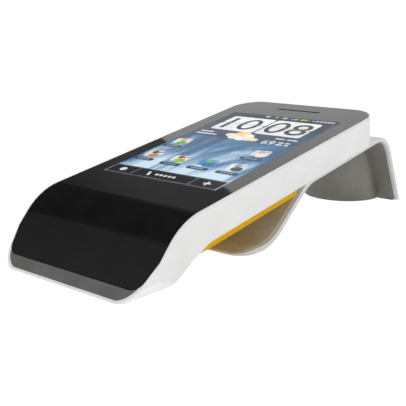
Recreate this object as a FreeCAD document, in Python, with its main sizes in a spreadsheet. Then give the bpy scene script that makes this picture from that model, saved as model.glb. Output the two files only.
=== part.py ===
import FreeCAD, Part
import math
import os
from FreeCAD import Placement, Rotation, Vector
from Sketcher import Constraint

# Card payment terminal: a touch-screen hand terminal fixed on a bent ribbon stand.
# World frame: +X to the right of a person facing the screen, +Y to the rear, +Z up.
# The origin is on the table, under the middle of the whole object.
# Deck frame: for everything that lies parallel to the screen. Its origin is the knee, the
# line where the screen's plane would meet the chin's plane, +Y runs up the screen and +Z
# points out of it.

DRIVING_SIZES = {
    "body_width": 78.0,
    "overall_length": 204.0,
    "deck_tilt": 10.2,
    "chin_slope": 48.5,
    "knee_height": 26.3,
    "knee_radius": 28.0,
    "deck_length": 141.0,
    "body_depth": 17.5,
    "wall_thickness": 2.0,
    "rim_width": 0.45,
    "rim_height": 1.2,
    "rear_corner_radius": 13.0,
    "front_corner_radius": 12.0,
    "front_taper": 14.0,
    "front_taper_reach": 18.6,
    "glass_corner_radius": 5.5,
    "side_lean": 0.335,
    "base_width": 63.6,
    "base_lean": 0.94,
    "belly_reach": 28.0,
    "belly_radius": 29.6,
    "belly_slope": 35.0,
    "neck_radius": 10.0,
    "under_edge_radius": 2.0,
    "glass_thickness": 1.6,
    "glass_gap": 0.12,
    "trim_height": 5.2,
    "trim_depth": 2.5,
    "trim_inset": 1.2,
    "trim_gap": 0.35,
    "screen_width": 61.0,
    "screen_length": 91.6,
    "screen_start": 28.4,
    "panel_border": 3.0,
    "panel_thickness": 2.4,
    "frame_wall": 2.0,
    "board_thickness": 1.2,
    "board_width": 61.6,
    "board_length": 97.8,
    "board_depth": 7.6,
    "battery_width": 46.0,
    "battery_length": 44.0,
    "battery_thickness": 5.4,
    "battery_start": 35.0,
    "door_thickness": 3.0,
    "door_width": 63.0,
    "door_start": 13.5,
    "door_end": 80.0,
    "ribbon_width": 62.0,
    "ribbon_thickness": 2.2,
    "ribbon_toe": 68.5,
    "ribbon_toe_thickness": 0.7,
    "ribbon_slope": 39.0,
    "ribbon_front_radius": 25.0,
    "ribbon_upper_radius": 14.0,
    "ribbon_rear_radius": 11.0,
    "ribbon_corner_radius": 8.0,
    "leg_slope": 64.5,
    "liner_thickness": 0.9,
    "liner_margin": 1.6,
    "pod_radius": 20.5,
    "pod_wall": 2.0,
    "pod_base_thickness": 2.0,
    "foot_height": 0.5,
    "key_travel": 0.4,
    "key_gap": 0.15,
    "screw_head_radius": 2.4,
    "screw_radius": 1.25,
}

doc = FreeCAD.newDocument("payment_terminal")


def make_sheet():
    """Fill the spreadsheet with the driving sizes, in millimetres and degrees."""
    table = doc.addObject("Spreadsheet::Sheet", "Sizes")
    for row, (alias, value) in enumerate(DRIVING_SIZES.items(), start=1):
        table.set(f"A{row}", alias)
        table.set(f"B{row}", str(value))
        table.setAlias(f"B{row}", alias)
    doc.recompute()
    return table


sheet = make_sheet()


def size(alias):
    """Read one driving size back from the sheet."""
    return float(sheet.get(alias))


# ---- Places worked out from the driving sizes --------------------------------------------

FRONT_TIP = -size("overall_length") / 2
REAR_TIP = size("overall_length") / 2
TILT = math.radians(size("deck_tilt"))
CHIN = math.radians(size("chin_slope"))
KNEE = Vector(0, FRONT_TIP + size("knee_height") / math.tan(CHIN), size("knee_height"))
DECK = Placement(KNEE, Rotation(Vector(1, 0, 0), size("deck_tilt")))
HALF_WIDTH = size("body_width") / 2
CHIN_TURN = size("chin_slope") - size("deck_tilt")
CHIN_LENGTH = size("knee_height") / math.sin(CHIN)
GLASS_CHIN_LENGTH = CHIN_LENGTH - size("trim_height") / math.sin(CHIN)
FLOOR_LEVEL = -size("body_depth") + size("wall_thickness")
CUT_REACH = 40.0


def to_deck(y, z):
    """Turn a place on the world's middle plane into deck coordinates."""
    point = DECK.inverse().multVec(Vector(0, y, z))
    return point.y, point.z


def to_world(y, z):
    """Turn a place on the deck's middle plane into world coordinates."""
    point = DECK.multVec(Vector(0, y, z))
    return point.y, point.z


def along_chin(distance, inset=0.0):
    """Deck coordinates of a place on the chin, so far down from the knee and so far inside."""
    turn = math.radians(CHIN_TURN)
    y = -distance * math.cos(turn) + inset * math.sin(turn)
    z = -distance * math.sin(turn) - inset * math.cos(turn)
    return y, z


def meet(first, first_slope, second, second_slope):
    """The point where two sloping lines of the side view cross."""
    first_rise = math.tan(math.radians(first_slope))
    second_rise = math.tan(math.radians(second_slope))
    y = (second[1] - first[1] + first_rise * first[0] - second_rise * second[0]) / (first_rise - second_rise)
    return y, first[1] + first_rise * (y - first[0])


# ---- Helpers for bodies and sketches -----------------------------------------------------


def new_body(name, placement=None):
    """Start a body with its label; the deck placement is given to what lies along the screen."""
    body = doc.addObject("PartDesign::Body", name)
    body.Label = name
    if placement:
        body.Placement = placement
    return body


def new_sketch(body, plane, name, offset=0.0, turn=0.0):
    """Add a sketch on one of the body's own planes, moved along its normal, turned about its x."""
    sketch = body.newObject("Sketcher::SketchObject", name)
    origin_plane = next(item for item in body.Origin.OriginFeatures if item.Role == plane)
    sketch.AttachmentSupport = (origin_plane, [""])
    sketch.MapMode = "FlatFace"
    sketch.AttachmentOffset = Placement(Vector(0, 0, offset), Rotation(Vector(1, 0, 0), turn))
    return sketch


def draw_outline(sketch, corners):
    """Draw a closed outline through (u, v, radius) corners, with tangent arcs at the rounded ones."""
    ends = []
    for index, (u, v, radius) in enumerate(corners):
        here = Vector(u, v, 0)
        before = Vector(*corners[index - 1][:2], 0) - here
        after = Vector(*corners[(index + 1) % len(corners)][:2], 0) - here
        before.normalize()
        after.normalize()
        if not radius:
            ends.append((here, here))
            continue
        half_angle = before.getAngle(after) / 2
        reach = radius / math.tan(half_angle)
        bisector = before + after
        bisector.normalize()
        middle = here + bisector * (radius / math.sin(half_angle) - radius)
        sketch.addGeometry(Part.Arc(here + before * reach, middle, here + after * reach))
        ends.append((here + before * reach, here + after * reach))
    for index, (start, end) in enumerate(ends):
        following = ends[(index + 1) % len(ends)][0]
        if end.distanceToPoint(following) > 1e-4:
            sketch.addGeometry(Part.LineSegment(end, following))


def draw_rectangle(sketch, width, height, centre_u="0", centre_v="0"):
    """Draw a rectangle whose width, height and centre are expressions in the sheet's sizes."""
    corners = [Vector(-1, -1, 0), Vector(1, -1, 0), Vector(1, 1, 0), Vector(-1, 1, 0)]
    for index in range(4):
        sketch.addGeometry(Part.LineSegment(corners[index], corners[(index + 1) % 4]))
    for index in range(4):
        sketch.addConstraint(Constraint("Coincident", index, 2, (index + 1) % 4, 1))
    for index, kind in enumerate(["Horizontal", "Vertical", "Horizontal", "Vertical"]):
        sketch.addConstraint(Constraint(kind, index))
    bind_constraint(sketch, Constraint("DistanceX", 0, 1, 0, 2, 2), width)
    bind_constraint(sketch, Constraint("DistanceY", 1, 1, 1, 2, 2), height)
    bind_constraint(sketch, Constraint("DistanceX", -1, 1, 0, 2, 1), f"({width}) / 2 + {centre_u}")
    bind_constraint(sketch, Constraint("DistanceY", -1, 1, 1, 2, 1), f"({height}) / 2 + {centre_v}")


def bind_constraint(sketch, constraint, expression):
    """Add a sketch constraint and tie it to an expression."""
    index = sketch.addConstraint(constraint)
    sketch.setExpression(f"Constraints[{index}]", expression)


def draw_circle(sketch, u, v, radius):
    """Draw a circle held by its centre, its radius an expression in the sheet's sizes."""
    index = sketch.addGeometry(Part.Circle(Vector(u, v, 0), Vector(0, 0, 1), 1.0))
    bind_constraint(sketch, Constraint("Radius", index, 1.0), radius)


def pad(body, sketch, name, length, both_ways=False, reverse=False):
    """Pad a sketch by an expression in the sheet's sizes."""
    feature = body.newObject("PartDesign::Pad", name)
    feature.Profile = sketch
    feature.SideType = "Symmetric" if both_ways else "One side"
    feature.Reversed = reverse
    feature.setExpression("Length", length)
    return feature


def pocket(body, sketch, name, length=None, both_ways=False, reverse=False):
    """Cut a sketch out of the body, right through unless an expression gives a depth."""
    feature = body.newObject("PartDesign::Pocket", name)
    feature.Profile = sketch
    feature.SideType = "Symmetric" if both_ways else "One side"
    feature.Reversed = reverse
    if length:
        feature.setExpression("Length", length)
    else:
        feature.Type = "Length"
        feature.Length = 6 * CUT_REACH
    return feature


def slab(name, width, length, thickness, level, centre_y, placement=DECK):
    """A flat rectangular piece lying along the deck, its top at the given level."""
    body = new_body(name, placement)
    sketch = new_sketch(body, "XY_Plane", name + "_outline", level)
    draw_rectangle(sketch, width, length, "0", centre_y)
    pad(body, sketch, name + "_pad", thickness, reverse=True)
    return body


def cut(name, base, *tools):
    """Cut one or more solids out of a base solid."""
    result = base
    for number, tool in enumerate(tools, start=1):
        step = doc.addObject("Part::Cut", name if number == len(tools) else f"{name}_cut{number}")
        step.Base = result
        step.Tool = tool
        result = step
    result.Label = name
    return result


def common(name, base, tool):
    """Keep what two solids share."""
    result = doc.addObject("Part::Common", name)
    result.Base = base
    result.Tool = tool
    result.Label = name
    return result


# ---- The white body shell ----------------------------------------------------------------


def draw_hull_section(sketch, inset):
    """The body's cross-section: upright at the top, then leaning in towards the underside."""
    half_width = HALF_WIDTH - inset
    foot_depth = size("knee_radius") - 1
    foot_half = half_width - (foot_depth - size("rim_height")) * size("side_lean")
    corners = [
        (-half_width, 0, 0),
        (-half_width, -size("rim_height"), 0),
        (-foot_half, -foot_depth, 0),
        (foot_half, -foot_depth, 0),
        (half_width, -size("rim_height"), 0),
        (half_width, 0, 0),
    ]
    draw_outline(sketch, corners)


def hull_blank(body, inset):
    """The section run along the face's own line: straight deck, round knee, straight chin."""
    bend_reach = size("knee_radius") * math.tan(math.radians(CHIN_TURN) / 2)
    deck = new_sketch(body, "XZ_Plane", body.Name + "_deck_section", -bend_reach)
    draw_hull_section(deck, inset)
    pad(body, deck, body.Name + "_deck_run", f"Sizes.deck_length - {bend_reach + inset}", reverse=True)
    bend = new_sketch(body, "XZ_Plane", body.Name + "_knee_section", -bend_reach)
    draw_hull_section(bend, inset)
    axis = Part.LineSegment(Vector(-9, -size("knee_radius"), 0), Vector(9, -size("knee_radius"), 0))
    bend.addGeometry(axis, True)
    knee = body.newObject("PartDesign::Revolution", body.Name + "_knee")
    knee.Profile = bend
    knee.ReferenceAxis = (bend, ["Axis0"])
    knee.Angle = CHIN_TURN
    chin_start = along_chin(bend_reach)
    chin = new_sketch(body, "XZ_Plane", body.Name + "_chin_section")
    chin.AttachmentOffset = Placement(Vector(0, chin_start[1], -chin_start[0]),
                                      Rotation(Vector(1, 0, 0), CHIN_TURN))
    draw_hull_section(chin, inset)
    pad(body, chin, body.Name + "_chin_run", str(CHIN_LENGTH - bend_reach + 1.0))


def lean_base(body, inset):
    """Lean the sides in more steeply just above the table, along the world's Y."""
    sketch = new_sketch(body, "XZ_Plane", body.Name + "_base_lean")
    table = to_deck(KNEE.y, size("foot_height"))
    sketch.AttachmentOffset = Placement(Vector(0, table[1], -table[0]),
                                        Rotation(Vector(1, 0, 0), -size("deck_tilt")))
    base_half = size("base_width") / 2 - inset
    top_half = HALF_WIDTH - inset + 3
    rise = (top_half - base_half) / size("base_lean")
    for side in (-1, 1):
        corners = [
            (side * (base_half - size("base_lean")), -1, 0),
            (side * top_half, rise, 0),
            (side * top_half, -1, 0),
        ]
        draw_outline(sketch, corners)
    return pocket(body, sketch, body.Name + "_base_lean_cut", both_ways=True)


def surface_corners(depth):
    """The bend of the body's face, so far below it, from past the rear end to past the tip."""
    beyond = size("deck_length") + CUT_REACH
    turn = math.radians(CHIN_TURN)
    knee_y = depth * math.tan(turn / 2)
    chin_end = along_chin(CHIN_LENGTH + CUT_REACH, depth)
    return [
        (beyond, -depth, 0),
        (knee_y, -depth, size("knee_radius") - depth),
        (chin_end[0], chin_end[1], 0),
    ]


def underside_corners(raised):
    """The body's underside, so far up inside it: table, belly, neck and flat rear part."""
    heel_y = FRONT_TIP + size("belly_reach") - raised * math.tan(math.radians(size("belly_slope") / 2))
    table_level = raised + size("foot_height")
    heel = to_deck(heel_y, table_level)
    flat_level = -size("body_depth") + raised
    belly_slope = size("belly_slope") - size("deck_tilt")
    neck = meet(heel, belly_slope, (0, flat_level), 0)
    table_end = to_deck(FRONT_TIP - CUT_REACH, table_level)
    return [
        (table_end[0], table_end[1], 0),
        (heel[0], heel[1], size("belly_radius") - raised),
        (neck[0], neck[1], size("neck_radius") + raised),
        (size("deck_length") + CUT_REACH, flat_level, 0),
    ]


def trim_above(body, depth):
    """Cut away everything above the face line at the given depth."""
    sketch = new_sketch(body, "YZ_Plane", body.Name + "_face_line")
    above = 2 * CUT_REACH
    corners = surface_corners(depth)
    corners += [(corners[-1][0] - above, corners[-1][1], 0), (corners[-1][0] - above, above, 0)]
    corners += [(corners[0][0], above, 0)]
    draw_outline(sketch, corners)
    return pocket(body, sketch, body.Name + "_face_cut", both_ways=True)


def trim_below(body, raised):
    """Cut away everything below the underside line, raised by the given amount."""
    sketch = new_sketch(body, "YZ_Plane", body.Name + "_under_line")
    below = -3 * CUT_REACH
    corners = underside_corners(raised)
    corners += [(corners[-1][0], below, 0), (corners[0][0], below, 0)]
    draw_outline(sketch, corners)
    return pocket(body, sketch, body.Name + "_under_cut", both_ways=True)


def round_rear_corners(body, half_width, end, radius):
    """Round the two rear corners, seen square to the deck."""
    sketch = new_sketch(body, "XY_Plane", body.Name + "_rear_corners")
    spare = 6.0
    for side in (-1, 1):
        corners = [
            (side * (half_width + spare), end - radius, 0),
            (side * half_width, end - radius, 0),
            (side * half_width, end, radius - 0.01),
            (side * (half_width - radius), end, 0),
            (side * (half_width - radius), end + spare, 0),
            (side * (half_width + spare), end + spare, 0),
        ]
        draw_outline(sketch, corners)
    return pocket(body, sketch, body.Name + "_rear_corners_cut", both_ways=True)


def front_taper_x(distance, inset):
    """Half the chin's width, so far down from the knee: it narrows towards the tip."""
    taper = math.radians(size("front_taper"))
    shoulder = CHIN_LENGTH - size("front_taper_reach")
    return HALF_WIDTH - inset / math.cos(taper) - (distance - shoulder) * math.tan(taper)


def round_front_corners(body, end, inset, radius):
    """Taper and round the chin's two lower corners, seen square to the chin."""
    sketch = new_sketch(body, "XY_Plane", body.Name + "_front_corners", 0, CHIN_TURN)
    spare = 6.0
    top = CHIN_LENGTH - size("front_taper_reach") - 3 * spare
    reach = front_taper_x(end, inset)
    for side in (-1, 1):
        corners = [
            (side * (reach - 2.5 * radius), -end, 0),
            (side * reach, -end, radius),
            (side * front_taper_x(top, inset), -top, 0),
            (side * (front_taper_x(top, inset) + spare), -top, 0),
            (side * (front_taper_x(top, inset) + spare), -end - spare, 0),
            (side * (reach - 2.5 * radius), -end - spare, 0),
        ]
        draw_outline(sketch, corners)
    return pocket(body, sketch, body.Name + "_front_corners_cut", both_ways=True)


def make_hull():
    """The body's whole outer form, as if it were solid."""
    body = new_body("body_hull", DECK)
    hull_blank(body, 0.0)
    trim_below(body, 0.0)
    lean_base(body, 0.0)
    round_rear_corners(body, HALF_WIDTH, size("deck_length"), size("rear_corner_radius"))
    round_front_corners(body, CHIN_LENGTH, 0.0, size("front_corner_radius"))
    round_edges(body, "under_edges", side_under_edges, "Sizes.under_edge_radius")
    return body


def round_edges(body, name, choose, radius):
    """Round the edges of the body's last shape that a rule picks."""
    doc.recompute()
    base = body.Tip
    fillet = body.newObject("PartDesign::Fillet", name)
    fillet.Base = (base, choose(base.Shape))
    fillet.setExpression("Radius", radius)
    return fillet


def side_under_edges(shape):
    """Names of the long edges where the leaning side walls meet the underside."""
    names = []
    for number, edge in enumerate(shape.Edges, start=1):
        faces = shape.ancestorsOfType(edge, Part.Face)
        normals = []
        for face in faces:
            u, v = face.Surface.parameter(edge.valueAt((edge.FirstParameter + edge.LastParameter) / 2))
            normals.append(face.normalAt(u, v))
        side_walls = [n for n in normals if abs(n.x) > 0.5]
        floors = [n for n in normals if abs(n.x) < 0.05 and n.z < -0.5]
        if side_walls and floors and edge.Length > 2.0:
            names.append(f"Edge{number}")
    return names


def make_core():
    """The hollow inside the shell: it opens to the glass and stops behind the chin's nose."""
    body = new_body("body_core", DECK)
    wall = size("wall_thickness")
    hull_blank(body, wall)
    trim_above(body, size("glass_thickness"))
    trim_below(body, wall)
    lean_base(body, wall)
    round_rear_corners(body, HALF_WIDTH - wall, size("deck_length") - wall,
                       size("rear_corner_radius") - wall)
    nose_y = to_deck(FRONT_TIP + 12.0, wall)[0]
    sketch = new_sketch(body, "YZ_Plane", "nose_line")
    corners = [
        (nose_y, CUT_REACH, 0),
        (nose_y, -CUT_REACH, 0),
        (nose_y - CUT_REACH, -CUT_REACH, 0),
        (nose_y - CUT_REACH, CUT_REACH, 0),
    ]
    draw_outline(sketch, corners)
    pocket(body, sketch, "nose_cut", both_ways=True)
    return body


def face_band(name, stop, inset):
    """A sheet that follows the face of the body from its rear end down over the knee."""
    body = new_body(name, DECK)
    sketch = new_sketch(body, "YZ_Plane", name + "_side_line")
    depth = size("glass_thickness")
    rear_end = size("deck_length") - inset
    outer_end = along_chin(stop)
    inner_end = along_chin(stop, depth)
    corners = [
        (rear_end, 0, 0),
        (0, 0, size("knee_radius")),
        (outer_end[0], outer_end[1], 0),
        (inner_end[0], inner_end[1], 0),
        (depth * math.tan(math.radians(CHIN_TURN) / 2), -depth, size("knee_radius") - depth),
        (rear_end, -depth, 0),
    ]
    draw_outline(sketch, corners)
    pad(body, sketch, name + "_pad", f"Sizes.body_width - 2 * {inset}", both_ways=True)
    round_rear_corners(body, HALF_WIDTH - inset, rear_end, size("rear_corner_radius") - inset)
    round_front_corners(body, stop, inset, size("glass_corner_radius"))
    return body


def make_front_glass():
    """The black one-piece cover glass, with the listening slot near its top."""
    rim = size("rim_width") + size("glass_gap")
    body = face_band("front_glass", GLASS_CHIN_LENGTH, rim)
    sketch = new_sketch(body, "XY_Plane", "listening_slot")
    draw_slot(sketch, EARPIECE_Y, EARPIECE_LENGTH, EARPIECE_WIDTH)
    pocket(body, sketch, "listening_slot_cut", both_ways=True)
    return body


def draw_slot(sketch, centre_v, length, width):
    """Draw a slot with round ends lying along X."""
    radius = width / 2
    end = length / 2 - radius
    sketch.addGeometry(Part.LineSegment(Vector(-end, centre_v + radius, 0), Vector(end, centre_v + radius, 0)))
    sketch.addGeometry(Part.Arc(Vector(end, centre_v + radius, 0), Vector(end + radius, centre_v, 0),
                                Vector(end, centre_v - radius, 0)))
    sketch.addGeometry(Part.LineSegment(Vector(end, centre_v - radius, 0), Vector(-end, centre_v - radius, 0)))
    sketch.addGeometry(Part.Arc(Vector(-end, centre_v - radius, 0), Vector(-end - radius, centre_v, 0),
                                Vector(-end, centre_v + radius, 0)))


EARPIECE_Y = size("screen_start") + 102.6
EARPIECE_LENGTH = 25.0
EARPIECE_WIDTH = 1.3


def make_glass_recess():
    """The recess that the glass drops into, a little larger all round."""
    return face_band("glass_recess", GLASS_CHIN_LENGTH + size("trim_gap"), size("rim_width"))


def make_trim_block(name):
    """The block that the grey lip is cut from: level below, and following the chin's corners."""
    profile = new_body(name + "_profile", DECK)
    sketch = new_sketch(profile, "YZ_Plane", name + "_side_line")
    top = GLASS_CHIN_LENGTH - size("glass_corner_radius") + 1
    depth = size("trim_depth")
    surface_y = FRONT_TIP + TRIM_LIFT / math.tan(CHIN)
    ahead = to_deck(surface_y - 2 * depth, TRIM_LIFT)
    behind = to_deck(surface_y + depth / math.sin(CHIN), TRIM_LIFT)
    corners = [
        (*along_chin(top, -1), 0),
        (*ahead, 0),
        (*behind, 0),
        (*along_chin(top, depth), 0),
    ]
    draw_outline(sketch, corners)
    pad(profile, sketch, name + "_profile_pad", "Sizes.body_width + 2", both_ways=True)
    outline = new_body(name + "_outline", DECK)
    face = new_sketch(outline, "XY_Plane", name + "_face_line", 0, CHIN_TURN)
    inset = size("trim_inset")
    end = CHIN_LENGTH - inset
    radius = size("front_corner_radius") - inset
    corners = [
        (-front_taper_x(end, inset), -end, radius),
        (front_taper_x(end, inset), -end, radius),
        (front_taper_x(top, inset), -top, 0),
        (-front_taper_x(top, inset), -top, 0),
    ]
    draw_outline(face, corners)
    pad(outline, face, name + "_outline_pad", "4 * Sizes.trim_depth", both_ways=True)
    return common(name, profile, outline)


TRIM_LIFT = 1.3


def make_chin_trim(hull, recess):
    """The grey lip under the glass: the hull's own surface, as far as the lip reaches."""
    return cut("chin_trim", common("chin_lip", hull, make_trim_block("chin_lip_block")), recess)


def box_tool(name, width, length, height, centre):
    """A cutting box in deck coordinates, centred at the given place."""
    box = doc.addObject("Part::Box", name)
    box.Length = width
    box.Width = length
    box.Height = height
    corner = Vector(centre[0] - width / 2, centre[1] - length / 2, centre[2] - height / 2)
    box.Placement = DECK.multiply(Placement(corner, Rotation()))
    return box


POWER_KEY = {"x": -18.0, "level": -8.0, "width": 11.0, "height": 3.2}
PORT = {"x": 8.0, "level": -10.4, "width": 9.0, "height": 3.2}
ROCKER = {"y": 96.0, "level": -7.5, "length": 20.0, "height": 3.4}


def make_body_shell(hull, recess):
    """The white tub: hull less its hollow, the seats for glass and lip, and the openings."""
    rear = size("deck_length")
    gap = size("key_gap")
    through = 4 * size("wall_thickness")
    power_slot = box_tool("power_key_slot", POWER_KEY["width"] + 2 * gap, through,
                          POWER_KEY["height"] + 2 * gap, (POWER_KEY["x"], rear, POWER_KEY["level"]))
    port_slot = box_tool("port_slot", PORT["width"], through, PORT["height"],
                         (PORT["x"], rear, PORT["level"]))
    rocker_slot = box_tool("rocker_slot", through, ROCKER["length"] + 2 * gap,
                           ROCKER["height"] + 2 * gap, (-wall_outer_x(), ROCKER["y"], ROCKER["level"]))
    battery_mouth = box_tool("battery_mouth", size("battery_width") + 1, size("battery_length") + 1,
                             2 * size("wall_thickness"),
                             (0, battery_centre(), -size("body_depth")))
    screw_holes = hole_tool("floor_screw_holes", stand_screw_places(), "Sizes.screw_radius",
                            "2 * Sizes.wall_thickness", -size("body_depth") - 1)
    return cut("body_shell", hull, make_core(), recess, make_trim_block("chin_lip_seat"), power_slot,
               port_slot, rocker_slot, battery_mouth, screw_holes)


def battery_centre():
    """The battery's middle, measured along the deck."""
    return size("battery_start") + size("battery_length") / 2


# ---- Inside the body ---------------------------------------------------------------------

PANEL_TOP = -size("glass_thickness")
SCREEN_CENTRE = size("screen_start") + size("screen_length") / 2
BOARD_TOP = -size("board_depth")
BOARD_BOTTOM = BOARD_TOP - size("board_thickness")
BOARD_CENTRE = size("screen_start") + size("board_length") / 2 + 8.0


def make_display_panel():
    """The display behind the clear window of the glass."""
    border = "2 * Sizes.panel_border"
    return slab("display_panel", f"Sizes.screen_width + {border}", f"Sizes.screen_length + {border}",
                "Sizes.panel_thickness", PANEL_TOP, str(SCREEN_CENTRE))


def make_display_frame():
    """The metal tray that holds the display's edges and stiffens the body."""
    around = "2 * (Sizes.panel_border + Sizes.frame_wall)"
    body = slab("display_frame", f"Sizes.screen_width + {around}", f"Sizes.screen_length + {around}",
                "Sizes.panel_thickness + 1", PANEL_TOP - 0.2, str(SCREEN_CENTRE))
    sketch = new_sketch(body, "XY_Plane", "panel_seat", PANEL_TOP)
    border = "2 * Sizes.panel_border"
    draw_rectangle(sketch, f"Sizes.screen_width + {border}", f"Sizes.screen_length + {border}",
                   "0", str(SCREEN_CENTRE))
    pocket(body, sketch, "panel_seat_cut", "Sizes.panel_thickness")
    window = new_sketch(body, "XY_Plane", "cable_window", PANEL_TOP)
    draw_rectangle(window, "Sizes.screen_width / 2", "Sizes.screen_length / 5", "0", str(SCREEN_CENTRE))
    pocket(body, window, "cable_window_cut", "Sizes.panel_thickness + 3")
    return body


def make_main_board():
    """The main circuit board, with a notch for the battery's lead and four fixing holes."""
    body = slab("main_board", "Sizes.board_width", "Sizes.board_length", "Sizes.board_thickness",
                BOARD_TOP, str(BOARD_CENTRE))
    notch = new_sketch(body, "XY_Plane", "lead_notch", BOARD_TOP)
    draw_rectangle(notch, "12", "7", "0", str(BOARD_CENTRE - size("board_length") / 2))
    pocket(body, notch, "lead_notch_cut", "Sizes.board_thickness + 1")
    holes = new_sketch(body, "XY_Plane", "board_holes", BOARD_TOP)
    for x, y in board_screw_places():
        draw_circle(holes, x, y, "Sizes.screw_radius - 0.2")
    pocket(body, holes, "board_holes_cut", "Sizes.board_thickness + 1")
    return body


def board_screw_places():
    """The four corners where the board is screwed down."""
    x = size("board_width") / 2 - 4
    y = size("board_length") / 2 - 4
    return [(side * x, BOARD_CENTRE + end * y) for side in (-1, 1) for end in (-1, 1)]


def make_board_screws():
    """Four small screws through the board's corners into the display frame."""
    body = new_body("board_screws", DECK)
    heads = new_sketch(body, "XY_Plane", "screw_heads", BOARD_BOTTOM)
    shanks = new_sketch(body, "XY_Plane", "screw_shanks", BOARD_BOTTOM)
    for x, y in board_screw_places():
        draw_circle(heads, x, y, "Sizes.screw_head_radius * 0.8")
        draw_circle(shanks, x, y, "Sizes.screw_radius - 0.2")
    pad(body, heads, "head_pad", "1", reverse=True)
    pad(body, shanks, "shank_pad", "Sizes.board_thickness + 2")
    return body


def make_secure_module():
    """The shielded can over the payment processor, on the board's upper face."""
    body = slab("secure_module", "26", "26", "2.2", BOARD_TOP + 2.2, str(BOARD_CENTRE - 22))
    return softened(body, "secure_module_edges", 0.6)


def make_radio_shield():
    """The shielded can over the radios, on the board's upper face."""
    body = slab("radio_shield", "38", "18", "1.8", BOARD_TOP + 1.8, str(BOARD_CENTRE + 30))
    return softened(body, "radio_shield_edges", 0.5)


def softened(body, name, radius):
    """Round every edge that stands along the deck's normal."""
    doc.recompute()
    base = body.Tip
    upright = [
        f"Edge{number}"
        for number, edge in enumerate(base.Shape.Edges, start=1)
        if abs(edge.Vertexes[0].X - edge.Vertexes[-1].X) + abs(edge.Vertexes[0].Y - edge.Vertexes[-1].Y) < 1e-6
    ]
    fillet = body.newObject("PartDesign::Fillet", name)
    fillet.Base = (base, upright)
    fillet.Radius = radius
    return body


def make_battery_pack():
    """The battery, lying on the door's raised plug."""
    body = slab("battery_pack", "Sizes.battery_width", "Sizes.battery_length",
                "Sizes.battery_thickness", FLOOR_LEVEL + size("battery_thickness"), str(battery_centre()))
    return softened(body, "battery_edges", 1.5)


def make_battery_door():
    """The yellow cover under the body: it follows the underside from the neck, with a plug above."""
    body = new_body("battery_door", DECK)
    sketch = new_sketch(body, "YZ_Plane", "door_side_line")
    neck = underside_corners(0.0)[2]
    slope = math.tan(math.radians(size("belly_slope") - size("deck_tilt")))
    start = size("door_start")
    tip = (start, neck[1] - (neck[0] - start) * slope, 0)
    lower = neck[1] - size("door_thickness")
    corners = [
        tip,
        neck,
        (size("door_end"), neck[1], 0),
        (size("door_end"), lower, 1.5),
        (neck[0] + 1.0, lower, size("neck_radius")),
    ]
    draw_outline(sketch, corners)
    pad(body, sketch, "door_pad", "Sizes.door_width", both_ways=True)
    plug = new_sketch(body, "XY_Plane", "plug_outline", -size("body_depth"))
    draw_rectangle(plug, "Sizes.battery_width + 0.7", "Sizes.battery_length + 0.7", "0",
                   str(battery_centre()))
    pad(body, plug, "plug_pad", "Sizes.wall_thickness")
    return body


def make_antenna():
    """The contactless antenna: a flat loop behind the glass, between the knee and the display."""
    body = new_body("contactless_antenna", DECK)
    sketch = new_sketch(body, "XY_Plane", "loop_outline", PANEL_TOP)
    centre = size("screen_start") / 2 + 1.8
    draw_rectangle(sketch, "58", "12", "0", str(centre))
    pad(body, sketch, "loop_pad", "0.4", reverse=True)
    inner = new_sketch(body, "XY_Plane", "loop_inner", PANEL_TOP)
    draw_rectangle(inner, "52", "6", "0", str(centre))
    pocket(body, inner, "loop_cut", "2")
    return body


def make_loudspeaker():
    """The small loudspeaker behind the listening slot."""
    body = slab("loudspeaker", "Sizes.screen_width / 3", "7", "3.4", PANEL_TOP - 0.9, str(EARPIECE_Y))
    return softened(body, "loudspeaker_edges", 1.0)


def make_earpiece_mesh():
    """The fine mesh that closes the listening slot from behind."""
    body = new_body("earpiece_mesh", DECK)
    sketch = new_sketch(body, "XY_Plane", "mesh_outline", PANEL_TOP)
    draw_slot(sketch, EARPIECE_Y, EARPIECE_LENGTH + 2, EARPIECE_WIDTH + 2)
    pad(body, sketch, "mesh_pad", "0.5", reverse=True)
    face = new_sketch(body, "XY_Plane", "mesh_face", PANEL_TOP)
    draw_slot(face, EARPIECE_Y, EARPIECE_LENGTH - 0.2, EARPIECE_WIDTH - 0.2)
    pad(body, face, "mesh_face_pad", "Sizes.glass_thickness - 0.5")
    return body


def make_coin_cell():
    """The backup cell that keeps the payment keys alive, under the board."""
    body = new_body("coin_cell", DECK)
    sketch = new_sketch(body, "XY_Plane", "cell_outline", BOARD_BOTTOM)
    draw_circle(sketch, 18, battery_centre() + size("battery_length") / 2 + 12, "6.2")
    pad(body, sketch, "cell_pad", "2.4", reverse=True)
    return body


def make_buzzer_motor():
    """The vibration motor's can, under the board beside the backup cell."""
    body = new_body("vibration_motor", DECK)
    sketch = new_sketch(body, "XY_Plane", "motor_outline", BOARD_BOTTOM)
    draw_circle(sketch, -18, battery_centre() + size("battery_length") / 2 + 12, "5")
    pad(body, sketch, "motor_pad", "3", reverse=True)
    return body


def rear_piece(name, spec, width, height, inner_y, outer_y):
    """A rectangular piece that stands along the deck's Y axis near the rear wall."""
    body = new_body(name, DECK)
    sketch = new_sketch(body, "XZ_Plane", name + "_outline", -outer_y)
    draw_rectangle(sketch, width, height, str(spec["x"]), str(spec["level"]))
    pad(body, sketch, name + "_pad", str(outer_y - inner_y))
    return body


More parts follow.
